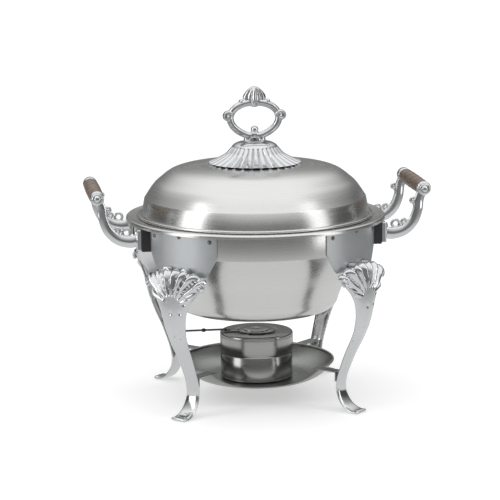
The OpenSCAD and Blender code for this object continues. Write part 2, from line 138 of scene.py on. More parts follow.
def putMesh(name, shell, body, stands, sharp=35):
    # Writes a shell to a mesh in metres, merges its seams and poles and turns its faces outward
    points = np.vstack(shell.points) * mm
    quads = np.vstack(shell.quads)
    mesh = bpy.data.meshes.new(name)
    mesh.from_pydata(points, [], quads.tolist())
    work = bmesh.new()
    work.from_mesh(mesh)
    bmesh.ops.remove_doubles(work, verts=work.verts, dist=2e-6)
    bmesh.ops.dissolve_degenerate(work, edges=work.edges, dist=1e-7)
    loose = [v for v in work.verts if not v.link_faces]
    bmesh.ops.delete(work, geom=loose, context="VERTS")
    bmesh.ops.recalc_face_normals(work, faces=work.faces)
    work.to_mesh(mesh)
    work.free()
    mesh.shade_smooth()
    mesh.set_sharp_from_angle(angle=math.radians(sharp))
    obj = bpy.data.objects.new(name, mesh)
    bpy.context.scene.collection.objects.link(obj)
    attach(obj, body)
    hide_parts(*stands)
    return obj


def lathe(outline, turns=180, closed=True):
    # Each outline point (r, z) goes round: (r cos a, r sin a, z)
    o = np.asarray(outline, float)
    a = np.linspace(0, 2 * pi, turns, endpoint=False)
    grid = np.empty((len(o), turns, 3))
    grid[..., 0] = o[:, :1] * np.cos(a)
    grid[..., 1] = o[:, :1] * np.sin(a)
    grid[..., 2] = o[:, 1:2]
    return Shell().add(grid, wrapRows=closed, wrapCols=True)


def sweep(path, loops, up=(0, 1, 0), capped=True):
    # Carries a cross-section along a path: point = path + a (across) + b (up), with
    # across = along x up, made square to the path. loops is one outline or one for each path point
    p = np.asarray(path, float)
    along = np.gradient(p, axis=0)
    along /= np.maximum(np.linalg.norm(along, axis=1), 1e-9)[:, None]
    upRow = np.broadcast_to(np.asarray(up, float), p.shape)
    across = np.cross(along, upRow)
    across /= np.maximum(np.linalg.norm(across, axis=1), 1e-9)[:, None]
    upSquare = np.cross(across, along)
    section = np.asarray(loops, float)
    if section.ndim == 2:
        section = np.broadcast_to(section, (len(p),) + section.shape)
    grid = (p[:, None] + section[..., :1] * across[:, None] + section[..., 1:2] * upSquare[:, None])
    if capped:
        grid = np.concatenate([np.broadcast_to(p[:1, None], (1,) + grid.shape[1:]), grid,
                               np.broadcast_to(p[-1:, None], (1,) + grid.shape[1:])])
    return Shell().add(grid, wrapCols=True)


def roundLoop(radius, steps=16, flat=1.0):
    # A circle, or an ellipse when flat is not 1
    a = np.linspace(0, 2 * pi, steps, endpoint=False)
    return np.column_stack([radius * np.cos(a), radius * flat * np.sin(a)])


def taperTube(path, radii, up=(0, 1, 0), steps=16, flat=1.0):
    # A round tube whose radius changes along its path, closed by shrinking rings at both ends
    p = np.asarray(path, float)
    r = np.broadcast_to(np.asarray(radii, float), (len(p),)).copy()
    unit = roundLoop(1, steps, flat)
    startDir, endDir = p[0] - p[1], p[-1] - p[-2]
    startDir, endDir = startDir / np.linalg.norm(startDir), endDir / np.linalg.norm(endDir)
    s = np.sin(np.linspace(pi / 2, 0.25, 4))[1:, None]
    pre = p[0] + startDir * r[0] * np.sqrt(1 - s[::-1] ** 2)
    post = p[-1] + endDir * r[-1] * np.sqrt(1 - s ** 2)
    path2 = np.vstack([pre, p, post])
    r2 = np.concatenate([r[0] * s[::-1, 0], r, r[-1] * s[:, 0]])
    return sweep(path2, unit[None] * r2[:, None, None], up)


def ballShell(center, radius, squash=(1, 1, 1), rows=18, cols=28):
    # A ball from latitude and longitude, each axis scaled by squash
    a = np.linspace(0, pi, rows)[:, None]
    b = np.linspace(0, 2 * pi, cols, endpoint=False)[None, :]
    grid = np.stack(np.broadcast_arrays(np.sin(a) * np.cos(b), np.sin(a) * np.sin(b), np.cos(a)), -1)
    return Shell().add(grid * radius * np.asarray(squash) + np.asarray(center, float), wrapCols=True)


def torusShell(center, ringR, tubeR, axis="y", rows=32, cols=14):
    # A ring: w = ring radius + tube radius cos b, turned about the named axis
    a = np.linspace(0, 2 * pi, rows, endpoint=False)[:, None]
    b = np.linspace(0, 2 * pi, cols, endpoint=False)[None, :]
    w = ringR + tubeR * np.cos(b)
    u, v, n = w * np.cos(a), w * np.sin(a), tubeR * np.sin(b) + 0 * a
    order = {"x": (n, u, v), "y": (u, n, v), "z": (u, v, n)}[axis]
    grid = np.stack(np.broadcast_arrays(*order), -1) + np.asarray(center, float)
    return Shell().add(grid, wrapRows=True, wrapCols=True)


def slabShell(lo, hi, edgeRound=0.8, steps=4):
    # A box whose edges are rounded: a superellipse loop in XY, drawn in at its top and bottom
    lo, hi = np.asarray(lo, float), np.asarray(hi, float)
    c, h = (lo + hi) / 2, (hi - lo) / 2
    q = np.radians(np.linspace(0, 90, steps + 1))
    corner = np.column_stack([np.cos(q), np.sin(q)]) * edgeRound
    loop = []
    for sx, sy, flip in ((1, 1, 0), (-1, 1, 1), (-1, -1, 0), (1, -1, 1)):
        k = corner[::-1] if flip else corner
        loop.append(np.column_stack([sx * (h[0] - edgeRound + k[:, 0]), sy * (h[1] - edgeRound + k[:, 1])]))
    loop = np.vstack(loop)
    inset = (1 - np.cos(q)) * edgeRound
    lift = np.sin(q) * edgeRound
    rows = []
    for z0, sign in ((-h[2] + edgeRound, -1), (h[2] - edgeRound, 1)):
        ks = range(len(q) - 1, -1, -1) if sign < 0 else range(len(q))
        for k in ks:
            f = 1 - inset[k] / np.abs(h[:2])
            rows.append(np.column_stack([loop * f, np.full(len(loop), z0 + sign * lift[k])]))
    rows = [rows[0] * [0, 0, 1]] + rows + [rows[-1] * [0, 0, 1]]
    return Shell().add(np.stack(rows) + c, wrapCols=True)


def turnAbout(angle, move=(0, 0, 0)):
    return Matrix.Translation(Vector(move)) @ Matrix.Rotation(math.radians(angle), 4, "Z")


def alongX(x, y=0.0, z=0.0):
    # Turns a lathe's +Z to +X and puts its foot at (x, y, z)
    return Matrix.Translation(Vector((x, y, z))) @ Matrix.Rotation(pi / 2, 4, "Y")


def alongY(side, x, y, z):
    # Turns a lathe's +Z to +Y or -Y
    return Matrix.Translation(Vector((x, y, z))) @ Matrix.Rotation(-side * pi / 2, 4, "X")


legAngles = {"front_left": 225, "front_right": -45, "back_left": 135, "back_right": 45}

# ---- materials ----

def shaderGroup(name, inputs, outputs):
    tree = bpy.data.node_groups.new(name, "ShaderNodeTree")
    for label, kind, value in inputs:
        socket = tree.interface.new_socket(label, in_out="INPUT", socket_type=kind)
        if value is not None:
            socket.default_value = value
    for label, kind in outputs:
        tree.interface.new_socket(label, in_out="OUTPUT", socket_type=kind)
    return tree, tree.nodes.new("NodeGroupInput"), tree.nodes.new("NodeGroupOutput")


def mathNode(tree, kind, a, b=0.0, clamp=False):
    n = tree.nodes.new("ShaderNodeMath")
    n.operation, n.use_clamp = kind, clamp
    for slotIn, value in zip(n.inputs, (a, b)):
        if isinstance(value, (int, float)):
            slotIn.default_value = value
        else:
            tree.links.new(value, slotIn)
    return n.outputs[0]


def noiseNode(tree, vector, scale, detail=3.0, rough=0.5):
    n = tree.nodes.new("ShaderNodeTexNoise")
    n.inputs["Scale"].default_value = scale
    n.inputs["Detail"].default_value = detail
    n.inputs["Roughness"].default_value = rough
    tree.links.new(vector, n.inputs["Vector"])
    return n.outputs["Fac"]


def rangeNode(tree, value, low, high, toLow, toHigh):
    n = tree.nodes.new("ShaderNodeMapRange")
    for k, v in zip((1, 2, 3, 4), (low, high, toLow, toHigh)):
        if isinstance(v, (int, float)):
            n.inputs[k].default_value = v
        else:
            tree.links.new(v, n.inputs[k])
    tree.links.new(value, n.inputs[0])
    return n.outputs[0]


def spunGrainGroup():
    # Fine rings: noise of (distance from the Z axis, height), broken up along the turn by a coarse noise
    tree, gin, gout = shaderGroup("spunGrain", [("Vector", "NodeSocketVector", None),
        ("Fineness", "NodeSocketFloat", 900.0)], [("Grain", "NodeSocketFloat")])
    split = tree.nodes.new("ShaderNodeSeparateXYZ")
    tree.links.new(gin.outputs["Vector"], split.inputs[0])
    r2 = mathNode(tree, "ADD", mathNode(tree, "MULTIPLY", split.outputs[0], split.outputs[0]),
                  mathNode(tree, "MULTIPLY", split.outputs[1], split.outputs[1]))
    r = mathNode(tree, "SQRT", r2)
    coarse = noiseNode(tree, gin.outputs["Vector"], 18, 2)
    join = tree.nodes.new("ShaderNodeCombineXYZ")
    tree.links.new(mathNode(tree, "MULTIPLY", r, gin.outputs["Fineness"]), join.inputs[0])
    tree.links.new(mathNode(tree, "MULTIPLY", split.outputs[2], gin.outputs["Fineness"]), join.inputs[1])
    tree.links.new(mathNode(tree, "MULTIPLY", coarse, 3.0), join.inputs[2])
    tree.links.new(noiseNode(tree, join.outputs[0], 1.0, 3, 0.6), gout.inputs["Grain"])
    return tree


def smudgeGroup():
    # Handling marks: soft patches of noise, with finer mottling inside them
    tree, gin, gout = shaderGroup("smudge", [("Vector", "NodeSocketVector", None),
        ("Size", "NodeSocketFloat", 22.0)], [("Mask", "NodeSocketFloat")])
    big = tree.nodes.new("ShaderNodeTexNoise")
    big.inputs["Detail"].default_value = 4
    tree.links.new(gin.outputs["Vector"], big.inputs["Vector"])
    tree.links.new(gin.outputs["Size"], big.inputs["Scale"])
    fine = noiseNode(tree, gin.outputs["Vector"], 240, 3, 0.6)
    patch = rangeNode(tree, big.outputs["Fac"], 0.45, 0.7, 0.0, 1.0)
    tree.links.new(mathNode(tree, "MULTIPLY", patch, rangeNode(tree, fine, 0.3, 0.7, 0.4, 1.0), True),
                   gout.inputs["Mask"])
    return tree


def castPitsGroup():
    # Casting texture: scattered small pits where a cell's distance is short, and a gentle wave
    tree, gin, gout = shaderGroup("castPits", [("Vector", "NodeSocketVector", None),
        ("Pit size", "NodeSocketFloat", 0.12)], [("Height", "NodeSocketFloat"), ("Pits", "NodeSocketFloat")])
    cells = tree.nodes.new("ShaderNodeTexVoronoi")
    cells.inputs["Scale"].default_value = 115
    tree.links.new(gin.outputs["Vector"], cells.inputs["Vector"])
    near = rangeNode(tree, cells.outputs["Distance"], 0.0, gin.outputs["Pit size"], 1.0, 0.0)
    some = rangeNode(tree, noiseNode(tree, gin.outputs["Vector"], 60, 1), 0.56, 0.6, 0.0, 1.0)
    pits = mathNode(tree, "MULTIPLY", near, some, True)
    wave = noiseNode(tree, gin.outputs["Vector"], 90, 2)
    tree.links.new(mathNode(tree, "SUBTRACT", mathNode(tree, "MULTIPLY", wave, 0.35), pits),
                   gout.inputs["Height"])
    tree.links.new(pits, gout.inputs["Pits"])
    return tree


groups = {"grain": spunGrainGroup(), "smudge": smudgeGroup(), "pits": castPitsGroup()}


def startMaterial(name):
    mat = bpy.data.materials.new(name)
    mat.use_nodes = True
    tree = mat.node_tree
    coord = tree.nodes.new("ShaderNodeTexCoord")
    return mat, tree, tree.nodes["Principled BSDF"], coord.outputs["Object"]


def placeGroup(tree, key, vector, **values):
    n = tree.nodes.new("ShaderNodeGroup")
    n.node_tree = groups[key]
    tree.links.new(vector, n.inputs["Vector"])
    for label, value in values.items():
        n.inputs[label.replace("_", " ")].default_value = value
    return n


def colourMix(tree, factor, a, b):
    n = tree.nodes.new("ShaderNodeMix")
    n.data_type = "RGBA"
    n.inputs["A"].default_value = (*a, 1)
    n.inputs["B"].default_value = (*b, 1)
    tree.links.new(factor, n.inputs["Factor"])
    return n.outputs["Result"]


def addBump(tree, shader, height, strength, distance):
    n = tree.nodes.new("ShaderNodeBump")
    n.inputs["Strength"].default_value = strength
    n.inputs["Distance"].default_value = distance
    tree.links.new(height, n.inputs["Height"])
    tree.links.new(n.outputs[0], shader.inputs["Normal"])


def steelMaterial(name, look):
    # Spun or brushed sheet: ring grain drives colour, roughness and a faint bump, smudges dull it in patches
    mat, tree, shader, vector = startMaterial(name)
    grain = placeGroup(tree, "grain", vector, Fineness=look["fineness"])
    marks = placeGroup(tree, "smudge", vector, Size=look["smudgeSize"])
    tree.links.new(colourMix(tree, grain.outputs["Grain"], look["dark"], look["light"]),
                   shader.inputs["Base Color"])
    rough = rangeNode(tree, grain.outputs["Grain"], 0.3, 0.7, look["rough"] - look["spread"],
                      look["rough"] + look["spread"])
    tree.links.new(mathNode(tree, "ADD", rough, mathNode(tree, "MULTIPLY", marks.outputs["Mask"], 0.06), True),
                   shader.inputs["Roughness"])
    shader.inputs["Metallic"].default_value = 1
    addBump(tree, shader, grain.outputs["Grain"], look["bump"], 0.0002)
    return mat


def castMaterial(name, look):
    # Plated casting: bright, with small pits that are darker and rougher
    mat, tree, shader, vector = startMaterial(name)
    pits = placeGroup(tree, "pits", vector, Pit_size=look["pitSize"])
    marks = placeGroup(tree, "smudge", vector, Size=35.0)
    tree.links.new(colourMix(tree, pits.outputs["Pits"], look["light"], look["dark"]),
                   shader.inputs["Base Color"])
    tree.links.new(mathNode(tree, "ADD", mathNode(tree, "MULTIPLY", marks.outputs["Mask"], 0.08),
        mathNode(tree, "ADD", mathNode(tree, "MULTIPLY", pits.outputs["Pits"], 0.3), look["rough"]), True),
        shader.inputs["Roughness"])
    shader.inputs["Metallic"].default_value = 1
    addBump(tree, shader, pits.outputs["Height"], look["bump"], 0.0004)
    return mat


def woodMaterial(name):
    # Turned wood: long fibres along the grip, which runs in Y, under a varnish coat
    mat, tree, shader, vector = startMaterial(name)
    stretch = tree.nodes.new("ShaderNodeMapping")
    stretch.inputs["Scale"].default_value = (420, 38, 420)
    tree.links.new(vector, stretch.inputs["Vector"])
    fibres = noiseNode(tree, stretch.outputs[0], 1.0, 5, 0.62)
    bands = noiseNode(tree, vector, 70, 2)
    tone = mathNode(tree, "ADD", mathNode(tree, "MULTIPLY", fibres, 0.7),
                    mathNode(tree, "MULTIPLY", bands, 0.3))
    ramp = tree.nodes.new("ShaderNodeValToRGB")
    ramp.color_ramp.elements[0].position, ramp.color_ramp.elements[1].position = 0.3, 0.72
    ramp.color_ramp.elements[0].color = (0.075, 0.045, 0.028, 1)
    ramp.color_ramp.elements[1].color = (0.27, 0.19, 0.135, 1)
    tree.links.new(tone, ramp.inputs[0])
    tree.links.new(ramp.outputs[0], shader.inputs["Base Color"])
    tree.links.new(rangeNode(tree, fibres, 0.3, 0.7, 0.32, 0.5), shader.inputs["Roughness"])
    shader.inputs["Coat Weight"].default_value = 0.6
    shader.inputs["Coat Roughness"].default_value = 0.18
    addBump(tree, shader, fibres, 0.25, 0.0003)
    return mat


def blackMaterial(name):
    # Moulded heat-proof plastic: near black with a fine even texture
    mat, tree, shader, vector = startMaterial(name)
    marks = placeGroup(tree, "smudge", vector, Size=60.0)
    speck = noiseNode(tree, vector, 900, 3, 0.6)
    tree.links.new(colourMix(tree, speck, (0.010, 0.010, 0.011), (0.026, 0.026, 0.028)),
                   shader.inputs["Base Color"])
    tree.links.new(rangeNode(tree, marks.outputs["Mask"], 0, 1, 0.42, 0.55), shader.inputs["Roughness"])
    addBump(tree, shader, speck, 0.2, 0.0002)
    return mat


looks = {
    "satin_steel": {"dark": (0.66, 0.66, 0.65), "light": (0.76, 0.76, 0.75), "rough": 0.25, "spread": 0.03,
                    "fineness": 1400.0, "smudgeSize": 16.0, "bump": 0.10},
    "polished_steel": {"dark": (0.34, 0.34, 0.33), "light": (0.46, 0.46, 0.45), "rough": 0.20, "spread": 0.03,
                       "fineness": 1200.0, "smudgeSize": 30.0, "bump": 0.08},
    "shelf_steel": {"dark": (0.27, 0.28, 0.27), "light": (0.44, 0.45, 0.43), "rough": 0.30, "spread": 0.05,
                    "fineness": 800.0, "smudgeSize": 24.0, "bump": 0.15},
    "fastener_steel": {"dark": (0.12, 0.12, 0.13), "light": (0.24, 0.24, 0.25), "rough": 0.22, "spread": 0.04,
                       "fineness": 2200.0, "smudgeSize": 60.0, "bump": 0.06},
    "cast_chrome": {"dark": (0.20, 0.20, 0.20), "light": (0.70, 0.71, 0.72), "rough": 0.12, "pitSize": 0.16,
                    "bump": 0.35},
}
materials = {key: castMaterial("castChrome", look) if key == "cast_chrome" else
             steelMaterial(key.replace("_s", "S"), look) for key, look in looks.items()}
materials["turned_wood"] = woodMaterial("turnedWood")
materials["black_insulator"] = blackMaterial("blackInsulator")
slotOf = {}
for part in frame["record"]["subparts"]:
    slotOf[part["node"]] = part["material_slot"]
    cad = nodes[part["node"]]
    cad.data.materials.clear()
    cad.data.materials.append(materials[part["material_slot"]])


def putPiece(name, shell, body, stands, sharp=35, finish=None):
    # A piece takes the slot, and so the finish, of the first CAD node that it stands for
    slotName = slotOf[stands[0]]
    obj = putMesh(name, shell, body, stands, sharp)
    obj.data.materials.append(finish or materials[slotName])
    return obj


def fuse(obj, voxel, smooth=2):
    # Joins overlapping closed surfaces into one skin, then relaxes it
    remesh = obj.modifiers.new("oneSkin", "REMESH")
    remesh.mode, remesh.voxel_size, remesh.use_smooth_shade = "VOXEL", voxel * mm, True
    if smooth:
        relax = obj.modifiers.new("relax", "SMOOTH")
        relax.factor, relax.iterations = 0.5, smooth
    return obj


print("materials made:", len(materials))

# ---- cover ----

cover = {"edgeR": 144.2, "edgeZ": 238.0, "crownZ": 302.5, "thick": 1.2, "flutes": 30, "bellTop": 329.5}
domePath = np.vstack([[[cover["edgeR"], cover["edgeZ"]], [cover["edgeR"], cover["edgeZ"] + 2]], curveThrough(
    [[140.6, 259.5], [130.5, 274.5], [122, 283], [104.6, 295], [77.4, 300.6], [40.2, 302.1],
     [2.7, cover["crownZ"]]], 10)])
domeOutline = sheetOutline(domePath, cover["thick"], 0.25)
putPiece("coverDome", lathe(domeOutline, 256), "cover", ["cover_dome"])


def bellShell(p):
    # A turned bell whose radius is lifted by flutes: r = base + depth |cos(n a / 2)|, the depth growing
    # from the collar to the scalloped foot
    line = curveThrough([[59, 303.9], [52, 306.6], [45, 310.0], [39.2, 313.2], [35.8, 315.8], [33.6, 318.3],
                         [31.4, 320.9], [29.2, 323.3]], 8)
    a = np.linspace(0, 2 * pi, p["flutes"] * 14, endpoint=False)
    s = np.linspace(0, 1, len(line))[:, None]
    ridge = np.abs(np.cos(p["flutes"] * a / 2))[None, :]
    ridge = 1 - (1 - ridge) ** 1.7
    depth = 4.2 * (1 - s) ** 1.1 + 2.0
    r = line[:, :1] - depth * (1 - ridge)
    z = line[:, 1:2] + 0 * a[None, :]
    z = z - 1.6 * (1 - s) ** 3 * (1 - ridge)
    outer = np.stack([r * np.cos(a), r * np.sin(a), z], -1)
    inR = np.maximum(r[:1] - np.array([[1.2], [6.0], [12.0]]), 4)
    inZ = np.vstack([z[:1] - 0.4, z[:1] + 1.3, z[:1] + 3.0])
    under = np.stack([inR * np.cos(a), inR * np.sin(a), inZ], -1)[::-1]
    top = np.array([[28.7, 323.9], [28.3, 324.6], [26.6, 326.2], [24.2, 327.6], [21.6, 328.7], [18.6, 329.3],
                    [15, 329.5], [2.8, 329.5], [2.8, 327.4], [18, 326.6]])
    cap = np.stack([top[:, :1] * np.cos(a), top[:, :1] * np.sin(a), top[:, 1:2] + 0 * a[None]], -1)
    inner = np.array([[25.5, 321.6], [31, 313.5]])
    lining = np.stack([inner[:, :1] * np.cos(a), inner[:, :1] * np.sin(a), inner[:, 1:2] + 0 * a[None]], -1)
    return Shell().add(np.concatenate([under, outer, cap, lining]), wrapRows=True, wrapCols=True)


putPiece("coverBell", bellShell(cover), "cover", ["cover_bell"], 50)


def lidHandleShell(base):
    # An open ring of round strips with a scroll at each side, a fluted shell on top and two short feet
    s = Shell()
    lower = curveThrough([[0, 7.4], [8, 8.1], [14, 10.4], [20, 13.9], [24.6, 17.6], [27.7, 21.3], [29.9, 26],
                          [30.6, 30]], 6)
    upper = curveThrough([[31, 33], [29.6, 37.2], [26, 41.8], [21, 45.4], [14, 48.4], [6, 50]], 6)
    for side in (1, -1):
        def to3d(q):
            return np.column_stack([side * q[:, 0], 0 * q[:, 0], q[:, 1] + base])
        n, m = len(lower), len(upper)
        s.addMoved(taperTube(to3d(lower), np.linspace(4.1, 3.9, n), steps=18, flat=1.1))
        s.addMoved(taperTube(to3d(upper), np.linspace(3.9, 4.4, m), steps=18, flat=1.08))
        # A thin rib stands on the outer edge of each strip
        for line, lift in ((lower[4:], -3.6), (upper, 3.7)):
            rib = line + sideOf(line) * lift
            s.addMoved(taperTube(to3d(rib), 1.35, steps=10, flat=2.6))
        # The side scroll: a spiral that tightens to a button
        t = np.linspace(0, 1, 40)
        turn = np.radians(150 - 520 * t)
        rad = 5.4 * (1 - t) + 1.0
        scroll = np.column_stack([33.7 + rad * np.cos(turn), 32.2 + rad * np.sin(turn)])
        s.addMoved(taperTube(to3d(scroll), np.linspace(2.0, 1.5, 40), steps=14, flat=2.7))
        s.addMoved(ballShell((side * 33.7, 0, base + 32.2), 2.2, (1, 2.6, 1)))
        s.addMoved(ballShell((side * 16.8, 0, base + 51.2), 3.0, (1, 1.4, 0.9)))
        s.addMoved(taperTube(np.array([[side * 5.5, 0, base + 7], [side * 8.2, 0, base + 4.2],
                                       [side * 9.8, 0, base + 1.4]]), [4.2, 4.0, 4.4], steps=16))
    s.addMoved(ballShell((0, 0, base + 15.4), 4.8, (1, 1, 1)))
    s.addMoved(ballShell((0, 0, base + 9.2), 5.4, (1.25, 0.95, 0.8)))
    foot = np.array([[0, 0.05], [14.4, 0.05], [15, 0.4], [14.7, 1.0], [12.5, 1.5], [9, 1.9], [0, 2.0]])
    s.addMoved(lathe(foot, 64, False), Matrix.Translation(Vector((0, 0, base))))
    rows, cols = 44, 120
    a = np.linspace(0, 2 * pi, cols, endpoint=False)[None, :]
    outline = curveThrough([[0, 43.4], [4.4, 44.4], [9.2, 47], [12.9, 51], [14.7, 55], [14.2, 58.2],
                            [12.3, 61.6], [9.6, 64.8], [7.0, 67.2], [3.6, 69.3], [0, 70]], 6)
    k = np.linspace(0, len(outline) - 1, rows)
    w = np.interp(k, np.arange(len(outline)), outline[:, 0])[:, None]
    z = np.interp(k, np.arange(len(outline)), outline[:, 1])[:, None]
    across = np.cos(a)
    flute = 0.62 + 0.38 * np.abs(np.cos(2.5 * pi * across)) ** 0.7
    thickness = 5.6 * np.sin(pi * np.clip(np.linspace(0, 1, rows)[:, None], 0.02, 0.98)) ** 0.5
    grid = np.stack(np.broadcast_arrays(w * across, thickness * np.sin(a) * flute, z + base + 0 * a), -1)
    s.add(grid, wrapCols=True)
    return s


fuse(putPiece("lidHandle", lidHandleShell(cover["bellTop"]), "cover", ["lid_handle"]), 0.5, 2)
print("cover made")

# ---- pans and band ----

pans = {"rimR": 164.4, "flangeZ": 235.6, "floorZ": 115.8, "foodFlangeZ": 236.8, "foodFloorZ": 152.8}
waterPath = np.vstack([
    [[pans["rimR"] - 1.2, 232.6]],
    arcPoints((161.2, 234.5), 2.0, 0, 100, 10),
    [[158.4, pans["flangeZ"] + 0.02], [133.3, pans["flangeZ"]]],
    arcPoints((132.3, 232.6), 3, 90, 176, 6),
    curveThrough([[127.8, 203.8], [117.8, 165.8], [106.8, 135.8]], 10),
    arcPoints((87.3, 133.8), 18, -8, -90, 12),
    [[60, pans["floorZ"]], [30, pans["floorZ"]], [0, pans["floorZ"]]]])
putPiece("waterPan", lathe(sheetOutline(waterPath, -1.2), 256, False), "water_pan", ["water_pan"])

foodPath = np.vstack([
    [[148.4, pans["foodFlangeZ"] + 0.1], [126.3, pans["foodFlangeZ"]]],
    arcPoints((125.3, 233.8), 3, 90, 176, 6),
    [[111.3, 170.8]],
    arcPoints((95.3, 168.8), 16, -5, -90, 12),
    [[50, pans["foodFloorZ"]], [0, pans["foodFloorZ"]]]])
foodShell = lathe(sheetOutline(foodPath, -1.2), 256, False)
foodShell.addMoved(torusShell((0, 0, 238.6), 148.2, 1.8, "z", 256, 16))
putPiece("foodPan", foodShell, "food_pan", ["food_pan"])

bandOutline = np.vstack([arcPoints((153.9, 204.0), 0.4, -90, 0, 4), arcPoints((153.9, 235.2), 0.4, 0, 90, 4),
                         [[152.8, 235.6], [152.8, 203.6]]])
putPiece("frameBand", lathe(bandOutline, 256), "frame", ["frame_band"])


def legPlateShell(angle):
    # A slab wrapped on the ring: rows of height z, half width w(z), a thin closed loop for each row
    foot, head = 181.6, 233.1
    ease = 0.5 * (1 - np.cos(np.radians([30, 60, 90]))) * 1.6
    z = np.concatenate([[foot], foot + ease, np.linspace(183.5, 231.5, 34), head - ease[::-1], [head]])
    w = np.interp(z, [181.6, 184, 186, 190, 202, 205, 208, 229, 231.8, 233.1],
                  [36.5, 39.4, 40.9, 43.2, 50.0, 51.7, 52.6, 52.7, 52.2, 50.8])
    edge = np.clip(np.minimum(z - z[0], z[-1] - z) / 0.8, 0.02, 1) ** 0.5
    q = np.linspace(0, 2 * pi, 64, endpoint=False)
    across = np.sign(np.cos(q)) * np.abs(np.cos(q)) ** 0.35
    depth = np.sign(np.sin(q)) * np.abs(np.sin(q)) ** 0.35
    y = w[:, None] * across
    r = 155.12 + 0.78 * edge[:, None] * depth
    turn = math.radians(angle) + y / 154.9
    grid = np.stack([r * np.cos(turn), r * np.sin(turn), z[:, None] + 0 * y], -1)
    ends = [np.broadcast_to(grid[k].mean(0), (1, 64, 3)) for k in (0, -1)]
    grid = np.concatenate([ends[0], grid, ends[1]])
    return Shell().add(grid, wrapCols=True)


plateLook = dict(looks["satin_steel"], dark=(0.52, 0.54, 0.55), light=(0.62, 0.64, 0.65), rough=0.42, bump=0.06)
plateFinish = steelMaterial("plateSteel", plateLook)
for name, angle in legAngles.items():
    putPiece("legPlate_" + name, legPlateShell(angle), "frame", ["leg_plate_" + name], 30, plateFinish)

# Rivets: a low dome with a faint flat, a shank through the sheets and a smaller dome inside
rivetHead = np.vstack([[[0, -4.0], [1.8, -3.9], [2.6, -3.1], [2.7, -2.95], [1.5, -2.95], [1.5, 0.02],
                        [2.7, 0.02]],
                       arcPoints((0, -2.9), 4.0, 47, 90, 6) - [0.0, 0.1]])
rivetOne = lathe(rivetHead, 28, False)
rivets = Shell()
for angle in legAngles.values():
    for turn, drop in ((-16, 9), (0, 6), (16, 9)):
        rivets.addMoved(rivetOne, turnAbout(angle + turn) @ alongX(155.9, 0, 235.6 - drop))
putPiece("legRivets", rivets, "frame", ["leg_rivets"])
print("pans and band made")

# ---- legs ----

legShape = {"toeThick": 4.6, "lobes": 7, "lobeRise": 3.4, "fanFoot": 146.0, "fanAngle": 60.0, "curlR": 4.6}
legLine = curveThrough([[164, 2.35], [154, 2.35], [143, 7.5], [135, 18], [132, 30], [134, 44], [140, 60],
                        [148, 78], [157, 95], [164, 112], [168, 130], [169.5, 150], [168.5, 168], [163, 186],
                        [161, 192]], 12)


